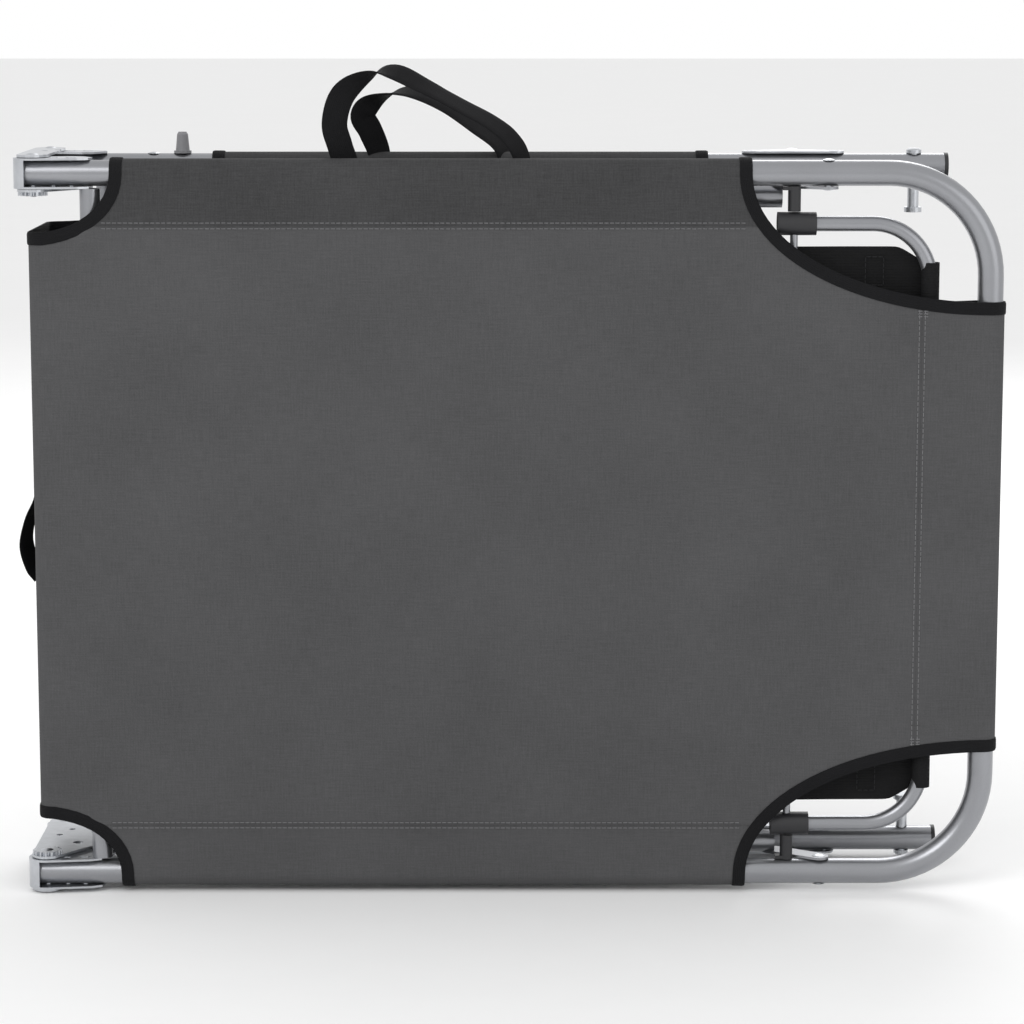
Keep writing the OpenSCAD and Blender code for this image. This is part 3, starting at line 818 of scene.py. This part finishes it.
class LOUNGER_OT_head_cover(bpy.types.Operator):
    """Adds the head section's cover with its bindings and stitching"""

    bl_idname = "lounger.head_cover"
    bl_label = "Head cover"

    def execute(self, context):
        cover, first, last = head_cover_shape()
        grids = [(cover.rows, cover.marks)]
        grids += [cover.sleeve(first, last, side, HEAD_Y, HEAD_R, 1, BAND) for side in (1, -1)]
        cloth = sheet_object("head_cover", grids, cloth_material(), sizes().cloth_thickness)
        tapes = []
        for side in (1, -1):
            ring_end, _ = cover.sleeve(first, first + 1, side, HEAD_Y, HEAD_R, 1, BAND)
            ring_fold, _ = cover.sleeve(last - 1, last, side, HEAD_Y, HEAD_R, 1, BAND)
            end_pairs = cover.edge(range(1, first + 1), side, END_X, HALF)
            end_pairs += list(zip(ring_end[0][1:19], ring_end[1][1:19]))
            fold_pairs = cover.edge(range(len(cover.rows) - 1, last - 1, -1), side, LINK_HEAD.x, HALF)
            fold_pairs += list(zip(ring_fold[1][1:19], ring_fold[0][1:19]))
            width, thick = sizes().binding_width, sizes().cloth_thickness + 1.3 * MM
            tapes.append(binding(f"head_binding_end_{side}", end_pairs, width, thick))
            tapes.append(binding(f"head_binding_fold_{side}", fold_pairs, width, thick))
        tape = joined("head_binding", tapes)
        places = []
        outer = sizes().cloth_thickness / 2 + 0.15 * MM
        relief = panel_relief(HALF, -1.0, LINK_HEAD.x + 10 * MM, END_X - 5 * MM)

        def on_front(p):
            lift = relief(p.x, HEAD_Y - HEAD_R, p.z - MID_Z)
            return Vector((p.x, HEAD_Y - HEAD_R + lift - outer, p.z))

        for side in (1, -1):
            for row in (-2.2 * MM, 2.2 * MM):
                z = MID_Z + side * (HALF - BAND + row)
                ends = [(HEAD_SLEEVE[0] - 8 * MM, 0, z), (HEAD_SLEEVE[1] - 4 * MM, 0, z)]
                places += row_of_stitches(*ends, on_front)
            for k in range(6):
                z = MID_Z + side * (END_HALF + 1 * MM - k * 2.2 * MM)
                ends = [(END_X - END_FLAP - 4 * MM, 0, z), (END_X - END_FLAP + 5 * MM, 0, z)]
                places += row_of_stitches(*ends, on_front)
        for row in (-2.2 * MM, 2.2 * MM):
            x = END_X - END_FLAP + row
            places += row_of_stitches((x, 0, MID_Z - END_HALF), (x, 0, MID_Z + END_HALF), on_front)
        thread = stitching("head_stitching", places, thread_material())
        for piece in (cloth, tape):
            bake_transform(piece)
        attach(thread, "head")
        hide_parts("head_cloth")
        return {"FINISHED"}


class LOUNGER_OT_seat_cover(bpy.types.Operator):
    """Adds the seat's cover and its bindings"""

    bl_idname = "lounger.seat_cover"
    bl_label = "Seat cover"

    def execute(self, context):
        cover, first, last = seat_cover_shape()
        grids = [(cover.rows, cover.marks)]
        grids += [cover.sleeve(first, last, side, SEAT_Y, HEAD_R, -1, BAND) for side in (1, -1)]
        cloth = sheet_object("seat_cover", grids, cloth_material(), sizes().cloth_thickness)
        tapes = []
        width, thick = sizes().binding_width, sizes().cloth_thickness + 1.3 * MM
        for side in (1, -1):
            ring_fold, _ = cover.sleeve(first, first + 1, side, SEAT_Y, HEAD_R, -1, BAND)
            ring_foot, _ = cover.sleeve(last - 1, last, side, SEAT_Y, HEAD_R, -1, BAND)
            fold_pairs = cover.edge(range(0, first + 1), side, LINK_HEAD.x, HALF)
            fold_pairs += list(zip(ring_fold[0][1:19], ring_fold[1][1:19]))
            foot_pairs = cover.edge(range(len(cover.rows) - 1, last - 1, -1), side, SEAT_CLOTH_END, HALF)
            foot_pairs += list(zip(ring_foot[1][1:19], ring_foot[0][1:19]))
            tapes.append(binding(f"seat_binding_fold_{side}", fold_pairs, width, thick))
            tapes.append(binding(f"seat_binding_foot_{side}", foot_pairs, width, thick))
        tape = joined("seat_binding", tapes)
        for piece in (cloth, tape):
            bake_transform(piece)
        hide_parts("seat_cloth", "fold_cloth")
        return {"FINISHED"}


class LOUNGER_OT_foot_cover(bpy.types.Operator):
    """Adds the foot section's cover and its bindings"""

    bl_idname = "lounger.foot_cover"
    bl_label = "Foot cover"

    def execute(self, context):
        radius = FOOT_R + WRAP
        cover, first, last, turn_x, seat_y, front_y = foot_cover_shape()
        grids = [(cover.rows, cover.marks)]
        grids += [cover.sleeve(first, last, side, FOOT_Y, radius, 1, BAND) for side in (1, -1)]
        cloth = sheet_object("foot_cover", grids, cloth_material(), sizes().cloth_thickness)
        tapes = []
        width, thick = sizes().binding_width, sizes().cloth_thickness + 1.2 * MM
        for side in (1, -1):
            ring_a, _ = cover.sleeve(first, first + 1, side, FOOT_Y, radius, 1, BAND)
            ring_b, _ = cover.sleeve(last - 1, last, side, FOOT_Y, radius, 1, BAND)
            pairs_a = cover.edge(range(0, first + 1), side, FOOT_CLOTH_START, FOOT_HALF)
            pairs_a += list(zip(ring_a[0][1:19], ring_a[1][1:19]))
            pairs_b = cover.edge(range(len(cover.rows) - 2, last - 1, -1), side, FOOT_END_X, FOOT_HALF)
            pairs_b += list(zip(ring_b[1][1:19], ring_b[0][1:19]))
            tapes.append(binding(f"foot_binding_a_{side}", pairs_a, width, thick))
            tapes.append(binding(f"foot_binding_b_{side}", pairs_b, width, thick))
        tape = joined("foot_binding", tapes)
        for piece in (cloth, tape):
            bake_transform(piece)
        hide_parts("foot_cloth")
        return {"FINISHED"}


class LOUNGER_OT_shade_cover(bpy.types.Operator):
    """Adds the shade's black cloth with its sewn patch"""

    bl_idname = "lounger.shade_cover"
    bl_label = "Shade cover"

    def execute(self, context):
        y = SHADE_HINGE.y
        radius, rod_r = BOW_R + WRAP, 3.9 * MM
        half = BOW_HALF - 18 * MM
        rod = arc(SHADE_HINGE.x, y, rod_r, -60.0, -270.0, 12)
        bow = arc(BOW_X, y, radius, 90.0, -200.0, 20)
        flat = [(x, y + rod_r + (radius - rod_r) * (x - SHADE_HINGE.x) / (BOW_X - SHADE_HINGE.x))
                for x in steps(SHADE_HINGE.x, BOW_X, 6 * MM)]
        path = rod + flat[1:-1] + bow
        corner = BOW_X - 24 * MM
        halves = [
            half if x < corner else half - 12 * MM * min(1.0, (x - corner) / (20 * MM)) for x, _ in path]

        def relief(x, y_at, z):
            share = (x - SHADE_HINGE.x) / (BOW_X - SHADE_HINGE.x)
            free = max(0.0, math.sin(math.pi * min(max(share, 0.0), 1.0)))
            return free * 1.6 * MM * noise.noise(Vector((x * 14.0, 1.0, z * 9.0))) if y_at > y else 0.0

        cover = Cover(path, halves, MID_Z, relief)
        material = woven_material("Black shade cloth", colours().shade, 900.0, 450.0, 0.85)
        grids = [(cover.rows, cover.marks)]
        cloth = sheet_object("shade_cover", grids, material, 0.8 * MM)
        places = []
        for side in (1, -1):
            low, high = MID_Z + side * (half - 8 * MM), MID_Z + side * (half - 30 * MM)
            left, right = BOW_X - 50 * MM, BOW_X - 36 * MM
            corners = [(left, 0, low), (right, 0, low), (right, 0, high), (left, 0, high), (left, 0, low)]

            def on_shade(p):
                return Vector((p.x, y + rod_r - 0.6 * MM, p.z))

            for a, b in zip(corners, corners[1:]):
                places += row_of_stitches(a, b, on_shade)
        thread = stitching("shade_stitching", places, shade_thread_material())
        for piece in (cloth, thread):
            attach(piece, "shade")
        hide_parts("shade_cloth")
        return {"FINISHED"}


def handle_piece(name, spots, depth, twist, body, node):
    """A loop of webbing through spots (along X, above the tube's top), at a depth along Y."""
    points = [(x * MM, depth + y * MM, HEAD_HIGH.z + z * MM) for x, y, z in spots]
    path = smooth_path(points, 8)
    run = lengths(path)
    sides = []
    for s in run:
        share = s / run[-1]
        angle = math.radians(np.interp(share, [t for t, _ in twist], [a for _, a in twist]))
        sides.append(Vector((math.sin(angle), math.cos(angle), 0.25 * math.sin(2 * angle))))
    loop = ribbon(name, path, sides, sizes().webbing_width, 1.5 * MM, tape_material())
    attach(loop, body)
    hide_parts(node)
    return loop


class LOUNGER_OT_webbing(bpy.types.Operator):
    """Adds the two carry handles and the closing strap"""

    bl_idname = "lounger.webbing"
    bl_label = "Webbing"

    def execute(self, context):
        handle_piece(
            "carry_handle_front",
            [(-127, 6, -38), (-127, 7, -8), (-132, 5, 10), (-136, 2, 28), (-129, 0, 50), (-110, -1, 64),
             (-90, 0, 67), (-66, 0, 56), (-40, 0, 42), (-16, 1, 29), (0, 3, 16), (9, 6, -2), (10, 7, -38)],
            HEAD_Y + 6 * MM, [(0, 60), (0.12, 72), (0.28, 84), (0.42, 60), (0.6, 35), (0.8, 38), (1, 40)],
            "head", "handle_front")
        handle_piece(
            "carry_handle_back",
            [(-104, 0, -30), (-105, 0, -2), (-112, -6, 18), (-118, -10, 31), (-108, -12, 42), (-90, -14, 49),
             (-72, -14, 48), (-50, -12, 38), (-28, -8, 22), (-10, -3, 8), (-4, 0, -6), (-3, 0, -30)],
            SEAT_Y - 2 * MM, [(0, 50), (0.15, 62), (0.3, 80), (0.45, 50), (0.7, 35), (1, 30)],
            "seat", "handle_back")
        low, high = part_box("closing_strap")
        x = FOLD_X - HEAD_R - 1.2 * MM
        y = (low.y + high.y) / 2
        spots = [(x, y + 2 * MM, high.z + 6 * MM), (x - 1 * MM, y, high.z - 4 * MM),
                 (x - 8 * MM, y - 2 * MM, high.z - 20 * MM), (x - 12 * MM, y - 3 * MM, high.z - 40 * MM),
                 (x - 8 * MM, y - 2 * MM, high.z - 58 * MM), (x - 3 * MM, y, low.z - 1 * MM)]
        path = smooth_path(spots, 8)
        sides = [Vector((0.3, 1.0, 0.25 * math.sin(3.0 * i / len(path)))) for i in range(len(path))]
        strap = ribbon("strap_end", path, sides, 25 * MM, 1.6 * MM, tape_material())
        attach(strap, "link")
        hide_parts("closing_strap")
        return {"FINISHED"}


class LOUNGER_OT_finishes(bpy.types.Operator):
    """Gives the frame's own pieces their coats and plating"""

    bl_idname = "lounger.finishes"
    bl_label = "Finishes"

    def execute(self, context):
        finish = {
            "tube": tube_material(), "zinc": zinc_material(), "black_plastic": plastic_material(),
            "grey_plastic": peg_material(), "webbing": tape_material(), "cloth": cloth_material(),
            "shade_fabric": tape_material()}
        slots = {s["node"]: s["material_slot"] for s in frame["record"]["subparts"]}
        for node, obj in frame["nodes"].items():
            material = finish[slots[node]]
            obj.data.materials.clear()
            obj.data.materials.append(material)
        return {"FINISHED"}


class LOUNGER_OT_stage(bpy.types.Operator):
    """Adds the floor, the lights and the camera"""

    bl_idname = "lounger.stage"
    bl_label = "Stage"

    def execute(self, context):
        bpy.ops.object.select_all(action="DESELECT")
        bpy.ops.mesh.primitive_plane_add(size=60.0)
        floor = context.active_object
        floor.name = "floor"
        floor.data.materials.append(floor_material())
        world = bpy.data.worlds.new("studio")
        context.scene.world = world
        world.use_nodes = True
        backdrop = world.node_tree.nodes["Background"]
        backdrop.inputs["Color"].default_value = (1.0, 1.0, 1.0, 1.0)
        # a white backdrop that lights the lounger more softly than it looks
        rays = world.node_tree.nodes.new("ShaderNodeLightPath")
        level = world.node_tree.nodes.new("ShaderNodeMath")
        level.operation = "MULTIPLY_ADD"
        level.inputs[1].default_value = 0.1
        level.inputs[2].default_value = 0.9
        world.node_tree.links.new(rays.outputs["Is Camera Ray"], level.inputs[0])
        world.node_tree.links.new(level.outputs[0], backdrop.inputs["Strength"])
        context.scene.view_settings.view_transform = "Standard"
        target = Vector((0.0, HEAD_Y, MID_Z))
        lamps = (("key", (-1.6, -2.6, 2.3), 1.8, 36.0), ("fill", (2.4, -2.2, 1.2), 2.2, 12.0),
                 ("rim", (0.6, 2.6, 2.2), 1.6, 30.0))
        for name, place, size, power in lamps:
            light = bpy.data.lights.new(name, "AREA")
            light.size, light.energy = size, power
            lamp = bpy.data.objects.new(name, light)
            context.scene.collection.objects.link(lamp)
            lamp.location = place
            lamp.rotation_euler = (target - lamp.location).to_track_quat("-Z", "Y").to_euler()
        distance, lift = 2.6, math.radians(9.0)
        seen = 0.799  # width of the view at the head section
        aim = Vector((1.0 * MM, HEAD_Y - HEAD_R, MID_Z + 14 * MM))
        camera_data = bpy.data.cameras.new("camera")
        camera_data.lens = camera_data.sensor_width * distance / seen
        camera = bpy.data.objects.new("camera", camera_data)
        context.scene.collection.objects.link(camera)
        camera.location = aim + distance * Vector((0.0, -math.cos(lift), math.sin(lift)))
        camera.rotation_euler = (aim - camera.location).to_track_quat("-Z", "Y").to_euler()
        context.scene.camera = camera
        return {"FINISHED"}


class LOUNGER_PT_panel(bpy.types.Panel):
    """Lists the lounger's sizes, colours and pieces"""

    bl_idname = "LOUNGER_PT_panel"
    bl_label = "Folded lounger"
    bl_space_type = "VIEW_3D"
    bl_region_type = "UI"
    bl_category = "Lounger"

    def draw(self, context):
        layout = self.layout
        for group in (context.scene.lounger_sizes, context.scene.lounger_colours):
            for name in group.__annotations__:
                layout.prop(group, name)
        for piece in OPERATORS:
            layout.operator(piece.bl_idname)


OPERATORS = (
    LOUNGER_OT_stage,
    LOUNGER_OT_finishes,
    LOUNGER_OT_head_cover,
    LOUNGER_OT_seat_cover,
    LOUNGER_OT_foot_cover,
    LOUNGER_OT_shade_cover,
    LOUNGER_OT_webbing,
)
CLASSES = (LoungerSizes, LoungerColours, *OPERATORS, LOUNGER_PT_panel)


def register():
    for made in CLASSES:
        bpy.utils.register_class(made)
    bpy.types.Scene.lounger_sizes = bpy.props.PointerProperty(type=LoungerSizes)
    bpy.types.Scene.lounger_colours = bpy.props.PointerProperty(type=LoungerColours)


def unregister():
    del bpy.types.Scene.lounger_colours
    del bpy.types.Scene.lounger_sizes
    for made in reversed(CLASSES):
        bpy.utils.unregister_class(made)


def main():
    register()
    for piece in OPERATORS:
        group, name = piece.bl_idname.split(".")
        getattr(getattr(bpy.ops, group), name)()


if __name__ == "__main__":
    main()
